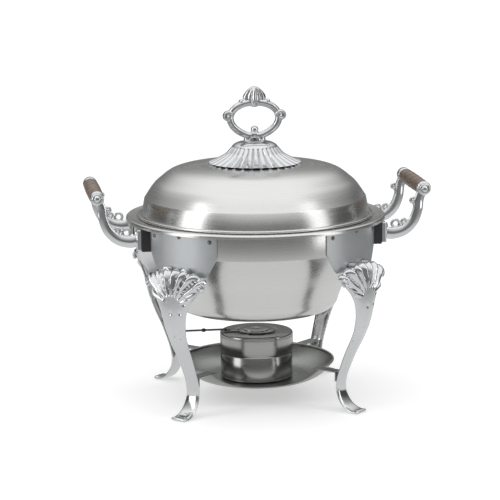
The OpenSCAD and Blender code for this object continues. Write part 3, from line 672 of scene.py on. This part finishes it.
def legShell(p):
    # The leg is one closed surface on a grid (run from toe to shell, turn round the section). A point is
    # line(run) + depth normal(run), set across by half width x u, and bent round the stand's axis. Above the
    # neck, run and width both depend on u, so that lines of equal u fan out, and lobes lift the front face
    run = np.concatenate([[0], np.cumsum(np.linalg.norm(np.diff(legLine, axis=0), axis=1))])
    normal = -sideOf(legLine)
    neckRun = np.interp(112, legLine[60:, 1], run[60:])
    sideZ = np.array([112, 126, 138, 147, 156, 164, 170, 175, 178.0])
    sideX = np.array([15, 17.0, 19.8, 23.5, 29.0, 35.5, 41.0, 45.0, 46.0])
    q = np.linspace(0, 2 * pi, 260, endpoint=False)
    u = np.sin(pi / 2 * np.clip(np.cos(q) / 0.985, -1, 1))
    face = np.sign(np.sin(q)) * (1 - np.abs(u) ** 4) ** 0.5
    front = np.sin(q) >= 0
    au = np.abs(u)
    edgeFade = np.clip((1 - au) / 0.05, 0, 1) ** 0.5
    # Top outline: height of the fan's edge by u, scalloped by its lobes
    topX = np.sign(u) * np.interp(au, [0, 0.25, 0.5, 0.72, 0.88, 1.0], [0, 12.5, 25.5, 36.5, 42.8, 46.0])
    topZ = np.interp(au, [0, 0.25, 0.5, 0.72, 0.88, 1.0], [191.5, 191.0, 189.0, 185.6, 182.2, 178.0])
    lobeR = p["lobeRise"]

    def lobes(x, z):
        # Lobes spread like rays from the fan's foot: |sin(n pi (a / 2m + 1/2))| for a ray at angle a of +-m
        ray = np.degrees(np.arctan2(x, np.maximum(z - p["fanFoot"], 0.01)))
        return np.abs(np.sin(p["lobes"] * pi * (ray / (2 * p["fanAngle"]) + 0.5)))
    edgeLobe = lobes(topX, topZ)
    marks = [(-12, 155), (19, 151), (13, 139), (-1, 138), (1, 83), (2, 40)]
    rows = []
    low = np.concatenate([[0, 0.15, 0.6, 1.3, 2.4], np.linspace(4, neckRun, 70)])
    for s in low:
        c = np.array([np.interp(s, run, legLine[:, k]) for k in (0, 1)])
        n = np.array([np.interp(s, run, normal[:, k]) for k in (0, 1)])
        w = np.interp(s, [0, 1.0, 2.4, 6, 20, 38, 55, 71, 93, 115, 133, neckRun],
                      [9.0, 10.5, 11.4, 11.8, 11.2, 10.2, 9.9, 9.9, 11.0, 12.6, 13.9, 15.0])
        half = np.interp(s, [0, neckRun], [p["toeThick"], 7.0]) / 2 * min(1, 0.25 + (s / 2.4) ** 0.5 * 0.75)
        flat = np.clip((s - 45) / 30, 0, 1)
        # Above the toe the front is full and the back is hollowed, with a soft rib down the middle
        rib = 0.8 * flat * np.exp(-(u / 0.26) ** 2) - 0.7 * flat * np.exp(-((au - 0.5) / 0.13) ** 2)
        for my, mz in marks[4:]:
            rib = rib - 1.1 * np.exp(-((u * w - my) ** 2 + (c[1] - mz) ** 2) / 2.6)
        depth = half * face * np.where(front, 1 + 0.25 * flat * (1 - au ** 2), 1) + np.where(front, rib, 0)
        rows.append((np.full(len(q), c[0]) + depth * n[0], np.full(len(q), c[1]) + depth * n[1], u * w))
    tt = np.concatenate([np.linspace(0.01, 0.86, 78), 1 - 0.14 * (1 - np.sin(np.linspace(0, pi / 2, 16)[1:]))])
    for t in tt:
        zs = 112 + (178 - 112) * t
        sx = np.interp(zs, sideZ, sideX)
        mixT = t * t * (3 - 2 * t)
        scallop = 3.2 * (edgeLobe - 1) * np.clip((t - 0.5) / 0.5, 0, 1) ** 2
        x = sx * ((1 - mixT) * u + mixT * topX / 46.0)
        flatZ = zs + (topZ - 178) * t ** 1.6
        z = flatZ + scallop
        s = np.interp(z, legLine[60:, 1], run[60:])
        cr, nr = np.interp(s, run, legLine[:, 0]), np.interp(s, run, normal[:, 0])
        nz = np.interp(s, run, normal[:, 1])
        close = np.sqrt(np.clip(1 - ((t - 0.86) / 0.14) ** 2, 0, 1)) if t > 0.86 else 1.0
        half = np.interp(t, [0, 0.5, 1], [7.0, 6.6, 7.0]) / 2
        far = np.hypot(x, z - p["fanFoot"])
        grow = np.clip((far - 9) / 20, 0, 1) * np.clip((z - p["fanFoot"] - 1) / 14, 0, 1)
        grow = grow * grow * (3 - 2 * grow)
        lobe = lobes(x, flatZ)
        # Lobes stand up between deep grooves, and the fan's middle swells a little below them
        low = np.clip(1 - t / 0.34, 0, 1)
        rise = (lobeR * grow * (1.5 * lobe * edgeFade - 0.66 * face) + 0.8 * low * np.exp(-(u / 0.26) ** 2)
                - 0.7 * low * np.exp(-((au - 0.5) / 0.13) ** 2))
        for my, mz in marks[:4]:
            rise = rise - 1.2 * np.exp(-((x - my) ** 2 + (z - mz) ** 2) / 2.6)
        tip = 2.4 * np.exp(-((t - 0.93) / 0.09) ** 2) * lobe * edgeFade
        flatDepth = half * face
        depth = close * np.where(front, flatDepth * (1 + 0.18 * (1 - au ** 2)) + rise + tip, flatDepth)
        rows.append((cr + depth * nr, z + depth * nz * 0.6, x))
    r, z, y = (np.stack([row[k] for row in rows]) for k in range(3))
    x = np.sqrt(np.maximum(r ** 2 - y ** 2, 1))
    grid = np.stack([x, y, np.maximum(z, 0.0)], -1)
    start = np.broadcast_to(grid[0].mean(0), (1,) + grid.shape[1:])
    s = Shell().add(np.concatenate([start, grid]), wrapCols=True)
    # Curls at the shell's lower corners: spirals that lie in its face
    t = np.linspace(0, 1, 44)
    for side in (1, -1):
        turn = np.radians(75 - 500 * t)
        rad = p["curlR"] * (1 - 0.72 * t)
        cy, cz = side * (40.2 + rad * np.cos(turn)), 172.0 + rad * np.sin(turn)
        cx = np.sqrt(168.8 ** 2 - cy ** 2) + 2.2 + 1.2 * t
        s.addMoved(taperTube(np.column_stack([cx, cy, cz]), np.linspace(2.0, 1.3, 44), up=(1, 0, 0), steps=12))
        s.addMoved(ballShell((math.sqrt(168.8 ** 2 - 40.2 ** 2) + 3.6, side * 40.2, 172.0), 1.7))
    return s


onlyLeg = legShell(legShape)
for pad in (-14, 14):
    boss = np.array([[0, 0], [4.6, 0], [5.2, 0.6], [5.4, 9.5], [0, 9.6]])
    onlyLeg.addMoved(lathe(boss, 32, False), alongX(155.25, pad, 187.6))
shelfBoss = np.array([[0, 0], [5.6, 0], [6.2, 0.6], [5.8, 6.5], [0, 6.6]])
onlyLeg.addMoved(lathe(shelfBoss, 32, False), alongX(128.55, 0, 44))
for name, angle in legAngles.items():
    putPiece("leg_" + name, Shell().addMoved(onlyLeg, turnAbout(angle)), "frame", ["leg_" + name], 55)
print("legs made")

# ---- shelf ----

shelf = {"rimR": 98.7, "floorZ": 24.0, "rise": 23.0, "flatR": 58.0, "cutY": 70.0, "thick": 1.5}


def shelfShell(p):
    # Height over the floor is an arc: z = R - sqrt(R^2 - (r - flat)^2), with R from the rim's rise.
    # Each ray stops at the rim or at the straight front edge, whichever is nearer
    reach = p["rimR"] - p["flatR"]
    bowl = (reach ** 2 + p["rise"] ** 2) / (2 * p["rise"])
    a = np.linspace(0, 2 * pi, 720, endpoint=False)
    toCut = p["cutY"] / np.maximum(-np.sin(a), 1e-6)
    far = np.where(np.sin(a) < -1e-6, np.minimum(toCut, p["rimR"]), p["rimR"])
    # Fractions of each ray, dense near its end
    f = np.concatenate([np.linspace(0, 0.55, 6)[:-1], 0.55 + 0.45 * np.linspace(0, 1, 26)])
    r = f[:, None] * far

    def dish(rr, lift):
        d = np.clip(rr - p["flatR"], 0, None)
        return p["floorZ"] + bowl - np.sqrt(bowl ** 2 - d ** 2) + lift
    top = np.stack([r * np.cos(a), r * np.sin(a), dish(r, p["thick"])], -1)
    low = np.stack([r * np.cos(a), r * np.sin(a), dish(r, 0.0)], -1)[::-1]
    s = Shell().add(np.concatenate([top, low]), wrapCols=True)
    rim = np.column_stack([(far - 0.9) * np.cos(a), (far - 0.9) * np.sin(a), dish(far, 0.8)])
    onRim = far > p["rimR"] - 0.01
    start = int(np.argmax(~onRim))
    order = np.roll(np.arange(720), -start)
    s.addMoved(taperTube(rim[order[onRim[order]]], 1.75, up=(0, 0, 1), steps=14))
    s.addMoved(taperTube(rim[order][:int((~onRim).sum())], 1.0, up=(0, 0, 1), steps=12))
    for angle in legAngles.values():
        tab = slabShell((94.5, -7, 48), (128.25, 7, 49.5), 0.5)
        tab.addMoved(slabShell((126.8, -7, 37), (128.25, 7, 49.5), 0.5))
        s.addMoved(tab, turnAbout(angle))
    return s


putPiece("burnerShelf", shelfShell(shelf), "frame", ["burner_shelf"], 40)
screw = np.array([[0, -1.6], [2.6, -1.6], [3.4, -1.0], [3.6, 0], [2.0, 0.0], [2.0, 6], [0, 6]])
shelfScrews = Shell()
for angle in legAngles.values():
    shelfScrews.addMoved(lathe(screw, 28, False), turnAbout(angle) @ alongX(126.8, 0, 44))
putPiece("shelfScrews", shelfScrews, "frame", ["shelf_screws"])
print("shelf made")

# ---- side handles ----

handle = {"armY": 58.0, "eyeX": 205.0, "eyeZ": 272.6, "gripR": 9.6, "beads": 5, "gripHalf": 52.3}
armLine = curveThrough([[154, 218.2], [166, 216.6], [180, 220.2], [191.5, 230.6], [197.5, 245], [199.5, 259],
                        [205, 272.6]], 8)


def armShell(p):
    # A bar carried along the arm's line: its width swells as a leaf does, and two ridges run along its
    # outer face, depth = half (1 - u^4)^1/2 with ridges at u = +-0.5
    s = Shell()
    n = len(armLine)
    t = np.linspace(0, 1, n)
    q = np.linspace(0, 2 * pi, 48, endpoint=False)
    u = np.cos(q)
    side = np.sign(np.sin(q)) * (1 - np.abs(u) ** 3.5) ** 0.5
    ridge = np.abs(np.sin(pi * u)) ** 0.9
    half = np.interp(t, [0, 0.15, 0.3, 0.5, 0.75, 1], [7.6, 7.6, 7.0, 6.5, 6.0, 5.8])
    width = np.interp(t, [0, 0.12, 0.4, 0.7, 0.9, 1], [5.2, 5.5, 5.5, 5.3, 5.0, 5.0])
    section = np.stack([-half[:, None] * side * (0.6 + 0.4 * ridge), width[:, None] * u], -1)
    path = np.column_stack([armLine[:, 0], 0 * t, armLine[:, 1]])
    s.addMoved(sweep(path, section, up=(0, 1, 0)))
    # Curled leaf tips: one on the foot, one on the inner side below the grip
    s.addMoved(torusShell((169.5, 0, 228.4), 4.8, 1.9, "y"))
    s.addMoved(torusShell((180.2, 0, 231.0), 2.8, 1.9, "y"))
    s.addMoved(torusShell((191.4, 0, 257.5), 2.6, 2.0, "y"))
    s.addMoved(ballShell((191.4, 0, 257.5), 2.2, (1, 1.5, 1)))
    s.addMoved(taperTube(curveThrough([[195, 0, 249], [193.4, 0, 252.5], [193.0, 0, 256]], 5), 2.2))
    eye = np.array([[2.6, -5.5], [6.9, -5.5], [7.6, -5.1], [9.0, -3.4], [9.0, 3.4], [7.6, 5.1], [6.9, 5.5],
                    [2.6, 5.5]])
    s.addMoved(lathe(eye, 48), alongY(1, p["eyeX"], 0, p["eyeZ"]))
    s.addMoved(slabShell((151.0, -6, 205.6), (157.0, 6, 231.6), 1.4))
    s.addMoved(ballShell((157.0, 0, 226.5), 4.2, (0.7, 1, 1)))
    return s


oneArm = armShell(handle)
for sideName, sx in (("left", -1), ("right", 1)):
    for endName, sy in (("front", -1), ("back", 1)):
        move = Matrix.Translation(Vector((0, sy * handle["armY"], 0))) @ Matrix.Diagonal((sx, 1, 1, 1))
        node = "handle_arm_" + sideName + "_" + endName
        arm = putPiece("arm_" + sideName + "_" + endName, Shell().addMoved(oneArm, move), "frame", [node])
        fuse(arm, 0.5, 1)


def gripShell(p, side):
    # Turned wood: beads of |sin| between narrow grooves, on a gently swelling core
    n = p["beads"] * 30 + 1
    t = np.linspace(0, 1, n)
    endGap = np.minimum(t, 1 - t) * 2 * p["gripHalf"]
    bead = np.abs(np.sin(pi * p["beads"] * t)) ** 0.5
    r = (p["gripR"] - 2.9) * (0.92 + 0.08 * np.sin(pi * t)) + 2.9 * bead - np.clip(1.2 - endGap, 0, 1.2) * 0.5
    y = (2 * t - 1) * p["gripHalf"]
    outline = np.vstack([[[2.6, -p["gripHalf"]]], np.column_stack([r, y]), [[2.6, p["gripHalf"]]]])
    return Shell().addMoved(lathe(outline, 72), alongY(1, side * p["eyeX"], 0, p["eyeZ"]))


for sideName, sx in (("left", -1), ("right", 1)):
    putPiece("grip_" + sideName, gripShell(handle, sx), "frame", ["grip_" + sideName], 60)

capOutline = np.array([[2.5, 0.0], [7.6, 0.0], [8.0, 0.4], [8.0, 1.3], [7.5, 1.9], [6.6, 2.1], [6.2, 2.9],
                       [5.4, 3.3], [4.9, 2.9], [4.6, 3.1], [4.1, 4.9], [3.0, 6.1], [1.5, 6.6], [0, 6.6],
                       [0, 4.0], [2.5, 4.0]])
caps = Shell()
for sx in (-1, 1):
    for sy in (-1, 1):
        caps.addMoved(lathe(capOutline, 48, False), alongY(sy, sx * handle["eyeX"], sy * 63.5, handle["eyeZ"]))
putPiece("gripCaps", caps, "frame", ["grip_caps"], 45)

blocks = Shell()
for sx in (-1, 1):
    for sy in (-1, 1):
        # The block's inner face follows the ring: x from sqrt(R^2 - y^2)
        block = slabShell((135, sy * handle["armY"] - 6, 204.1), (151, sy * handle["armY"] + 6, 232.1), 0.8)
        pts = block.points[0]
        nearX = np.sqrt(154.35 ** 2 - pts[:, 1] ** 2)
        pts[:, 0] = np.where(pts[:, 0] < 143, nearX + (pts[:, 0] - 135) * 0.1, pts[:, 0])
        blocks.addMoved(block, Matrix.Diagonal((sx, 1, 1, 1)))
putPiece("handleSpacers", blocks, "frame", ["handle_spacers"])
print("handles made")

# ---- fuel holder ----

burner = {"cupR": 46.0, "floorZ": 25.6, "topZ": 62.6, "capR": 46.8, "capZ": 62.7, "capTop": 85.2}
# Each outline is (radius, height) from the wall's radius and the top or floor, with a shallow rolled groove
cupWall = np.array([[0, 0], [0, -2.1], [-0.45, -2.8], [-0.45, -5.8], [0, -6.6], [0, -31.6]])
cupPath = np.vstack([cupWall + [burner["cupR"], burner["topZ"]],
                     arcPoints((burner["cupR"] - 3.5, burner["floorZ"] + 3.5), 3.5, 0, -90, 8),
                     [[30, burner["floorZ"]], [0, burner["floorZ"]]]])
putPiece("fuelCup", lathe(sheetOutline(cupPath, -1.0), 160, False), "fuel_holder", ["fuel_cup"])

capWall = np.array([[0, -5.6], [-0.5, -5.0], [-0.5, -4.4], [0, -3.8], [0, -2.8]])
capLip = np.array([[32, 0], [26, 0], [24.6, -0.7], [21.3, -0.7]])
coverPath = np.vstack([[[burner["capR"], burner["capZ"]]], capWall + [burner["capR"], burner["capTop"]],
                       arcPoints((burner["capR"] - 2.8, burner["capTop"] - 2.8), 2.8, 0, 90, 8),
                       capLip + [0, burner["capTop"]]])
fuelCover = lathe(sheetOutline(coverPath, 1.0), 160)
collar = np.array([[44.7, 54.7], [44.7, 84.0], [43.7, 84.0], [43.7, 54.7]])
fuelCover.addMoved(lathe(collar, 120))
putPiece("fuelCover", fuelCover, "fuel_cover", ["fuel_cover"])

damperOutline = np.array([[0, 85.5], [23.6, 85.5], [24, 85.8], [24, 86.4], [23.6, 86.7], [18.6, 86.7],
                          [18.0, 87.0], [17.6, 88.1], [17.0, 88.3], [6, 88.3], [4.5, 88.0], [0, 88.0]])
damper = lathe(damperOutline, 120, False)
damper.addMoved(slabShell((-41, -5, 85.5), (-22, 5, 86.7), 0.5))
putPiece("damperPlate", damper, "damper", ["damper_plate"])
wirePath = curveThrough([[-39.2, 0, 88.0], [-60, 0, 88.0], [-80, 0, 88.0], [-91, 0, 88.0], [-94.6, 0, 88.1]], 8)
wire = taperTube(wirePath, 1.3, steps=14)
wire.addMoved(torusShell((-41.2, 0, 88.0), 1.3, 0.55, "x", 20, 8))
putPiece("damperHandle", wire, "damper", ["damper_handle"])
putPiece("damperBead", ballShell((-68, 0, 88.0), 2.4, (1.35, 1, 1)), "damper", ["damper_bead"])
rivet = np.array([[0, 83.2], [2.9, 83.3], [3.0, 84.1], [1.45, 84.2], [1.45, 86.85], [3.0, 86.85], [2.8, 87.6],
                  [1.8, 88.15], [0, 88.3]])
putPiece("damperRivet", Shell().addMoved(lathe(rivet, 28, False), Matrix.Translation(Vector((-36, 0, 0)))),
         "fuel_cover", ["damper_rivet"])
print("fuel holder made")

# ---- floor, light and camera ----

studio = {"floorSize": 30.0, "floorTone": 0.85, "floorGlow": 0.38}
floorMesh = bpy.data.meshes.new("floor")
h = studio["floorSize"]
floorMesh.from_pydata([(-h, -h, 0), (h, -h, 0), (h, h, 0), (-h, h, 0)], [], [(0, 1, 2, 3)])
floor = bpy.data.objects.new("floor", floorMesh)
bpy.context.scene.collection.objects.link(floor)
floorMat, floorTree, floorShader, _ = startMaterial("paleFloor")
floorShader.inputs["Base Color"].default_value = (studio["floorTone"],) * 3 + (1,)
floorShader.inputs["Roughness"].default_value = 0.9
floorShader.inputs["Specular IOR Level"].default_value = 0.1
floorShader.inputs["Emission Color"].default_value = (1, 1, 1, 1)
floorShader.inputs["Emission Strength"].default_value = studio["floorGlow"]
floorMesh.materials.append(floorMat)
# In reflections the floor is a painted glow: a painted pool of light, bright round the stand and falling to a
# dim room, that only glossy rays see
floorGeometry = floorTree.nodes.new("ShaderNodeNewGeometry")
floorReach = floorTree.nodes.new("ShaderNodeVectorMath")
floorReach.operation = "LENGTH"
floorTree.links.new(floorGeometry.outputs["Position"], floorReach.inputs[0])
# Painted pool of light: a grey ramp by distance from the stand, given out as emission
paintedPoolRamp = floorTree.nodes.new("ShaderNodeValToRGB")
paintedPoolStops = paintedPoolRamp.color_ramp.elements
paintedPoolStops[0].position, paintedPoolStops[0].color = 0.0, (0.62, 0.62, 0.62, 1)
paintedPoolStops[1].position, paintedPoolStops[1].color = 0.8, (0.22, 0.22, 0.22, 1)
for place, tone in ((0.13, 0.80), (0.26, 0.72), (0.48, 0.34)):
    stop = paintedPoolStops.new(place)
    stop.color = (tone, tone, tone, 1)
floorTree.links.new(mathNode(floorTree, "MULTIPLY", floorReach.outputs["Value"], 0.5), paintedPoolRamp.inputs[0])
# The painted glow that glossy rays see in place of the lit floor
paintedPoolGlow = floorTree.nodes.new("ShaderNodeEmission")
floorTree.links.new(paintedPoolRamp.outputs[0], paintedPoolGlow.inputs["Color"])
floorRay = floorTree.nodes.new("ShaderNodeLightPath")
floorMix = floorTree.nodes.new("ShaderNodeMixShader")
floorTree.links.new(floorRay.outputs["Is Glossy Ray"], floorMix.inputs[0])
floorTree.links.new(floorShader.outputs[0], floorMix.inputs[1])
floorTree.links.new(paintedPoolGlow.outputs[0], floorMix.inputs[2])
floorTree.links.new(floorMix.outputs[0], floorTree.nodes["Material Output"].inputs["Surface"])


def softbox(name, at, target, width, height, power, tone=(1, 1, 1)):
    light = bpy.data.lights.new(name, "AREA")
    light.shape, light.size, light.size_y = "RECTANGLE", width, height
    light.energy, light.color = power, tone
    obj = bpy.data.objects.new(name, light)
    bpy.context.scene.collection.objects.link(obj)
    obj.location = at
    obj.rotation_euler = (Vector(target) - Vector(at)).to_track_quat("-Z", "Y").to_euler()
    obj.visible_camera = False
    return obj


softbox("leftStrip", (-1.10, -0.37, 0.66), (0, 0, 0.6), 0.50, 1.3, 4.2)
softbox("rightStrip", (0.96, -0.66, 0.66), (0, 0, 0.6), 0.42, 1.3, 2.6)

world = bpy.data.worlds.new("studio")
bpy.context.scene.world = world
world.use_nodes = True
wt = world.node_tree
background = wt.nodes["Background"]
rayKind = wt.nodes.new("ShaderNodeLightPath")
geometry = wt.nodes.new("ShaderNodeTexCoord")
split = wt.nodes.new("ShaderNodeSeparateXYZ")
wt.links.new(geometry.outputs["Generated"], split.inputs[0])
ramp = wt.nodes.new("ShaderNodeValToRGB")
stops = ramp.color_ramp.elements
stops[0].position, stops[0].color = 0.0, (0.17, 0.17, 0.17, 1)
stops[1].position, stops[1].color = 0.85, (1.15, 1.15, 1.15, 1)
for place, tone in ((0.28, 0.22), (0.5, 0.70), (0.7, 1.0)):
    stop = stops.new(place)
    stop.color = (tone, tone, tone, 1)
wt.links.new(split.outputs["Z"], ramp.inputs[0])
choose = wt.nodes.new("ShaderNodeMix")
choose.data_type = "RGBA"
choose.inputs["B"].default_value = (1, 1, 1, 1)
wt.links.new(rayKind.outputs["Is Camera Ray"], choose.inputs["Factor"])
# The room is darker to the sides, which shades the edges of round pieces
sideReach = mathNode(wt, "ABSOLUTE", split.outputs["X"], 0.0)
sideRamp = wt.nodes.new("ShaderNodeValToRGB")
sideStops = sideRamp.color_ramp.elements
sideStops[0].position, sideStops[0].color = 0.5, (1, 1, 1, 1)
sideStops[1].position, sideStops[1].color = 0.95, (0.34, 0.34, 0.34, 1)
wt.links.new(sideReach, sideRamp.inputs[0])
shade = wt.nodes.new("ShaderNodeMix")
shade.data_type, shade.blend_type = "RGBA", "MULTIPLY"
shade.inputs["Factor"].default_value = 1.0
wt.links.new(ramp.outputs[0], shade.inputs["A"])
wt.links.new(sideRamp.outputs[0], shade.inputs["B"])
wt.links.new(shade.outputs["Result"], choose.inputs["A"])
wt.links.new(choose.outputs["Result"], background.inputs["Color"])
background.inputs["Strength"].default_value = 1.0

view = {"at": (-0.39143, -2.73762, 0.70609), "aim": (-0.00707, 0.00118, 0.18988), "roll": -0.53, "lens": 158.92}
camData = bpy.data.cameras.new("camera")
camData.lens, camData.sensor_width = view["lens"], 36
camData.clip_end = 100
cam = bpy.data.objects.new("camera", camData)
bpy.context.scene.collection.objects.link(cam)
cam.location = view["at"]
look = (Vector(view["aim"]) - Vector(view["at"])).to_track_quat("-Z", "Y").to_matrix().to_4x4()
cam.rotation_euler = (look @ Matrix.Rotation(math.radians(view["roll"]), 4, "Z")).to_euler()
bpy.context.scene.camera = cam
bpy.context.scene.view_settings.view_transform = "Standard"
print("studio made")
